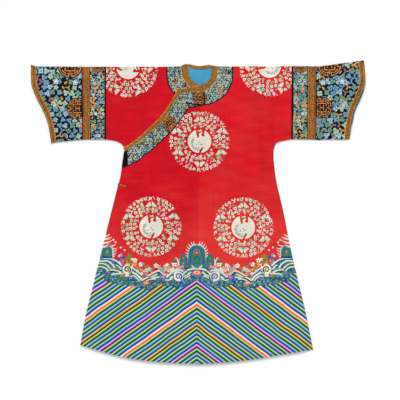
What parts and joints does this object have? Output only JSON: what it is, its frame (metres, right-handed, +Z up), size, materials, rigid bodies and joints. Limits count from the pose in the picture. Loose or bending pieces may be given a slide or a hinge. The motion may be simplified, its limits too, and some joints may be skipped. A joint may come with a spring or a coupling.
{
  "type": "kesi silk robe laid flat",
  "caption": "Wide-sleeved silk tapestry robe laid flat: side-closing front, patterned neckband and flared cuffs, crane roundels, striped wave hem.",
  "frame": {"origin": "middle of the underside, where the laid robe rests on its surface", "axes": "+X towards the wearer's left cuff (the robe lies face up), +Y towards the neck, +Z up"},
  "size_m": [1.5362, 1.394, 0.0111],
  "materials": {
    "red_kesi": "crimson silk tapestry with woven roundels and a striped wave hem, soft sheen",
    "navy_kesi": "navy silk tapestry densely woven with blue and green leaves and gold medallions",
    "gold_brocade": "gold and brown brocade ribbon with a fine speckled figure, soft metallic glint",
    "plain_navy": "plain navy silk, nearly black",
    "blue_lining": "sky blue silk lining, smooth with a soft sheen",
    "green_cord": "green and brown silk cord",
    "gold_cord": "gold silk cord"
  },
  "bodies": {
    "root": {"body_left": "red_kesi", "body_right": "red_kesi", "overlap_front": "red_kesi", "neckband_left": "navy_kesi", "neckband_right": "navy_kesi", "lapel_band": "navy_kesi", "lapel_end": "plain_navy", "lapel_trim": "gold_brocade", "neck_binding_left": "gold_brocade", "neck_binding_right": "gold_brocade", "sleeve_band_right": "navy_kesi", "sleeve_trim_right": "gold_brocade", "cuff_right": "navy_kesi", "cuff_trim_right": "gold_brocade", "sleeve_band_left": "navy_kesi", "sleeve_trim_left": "gold_brocade", "cuff_left": "navy_kesi", "cuff_trim_left": "gold_brocade", "neck_lining": "blue_lining", "cuff_lining_left": "blue_lining", "side_loop": "green_cord", "underarm_loop": "gold_cord", "collar_loop": "gold_cord"}
  },
  "joints": []
}
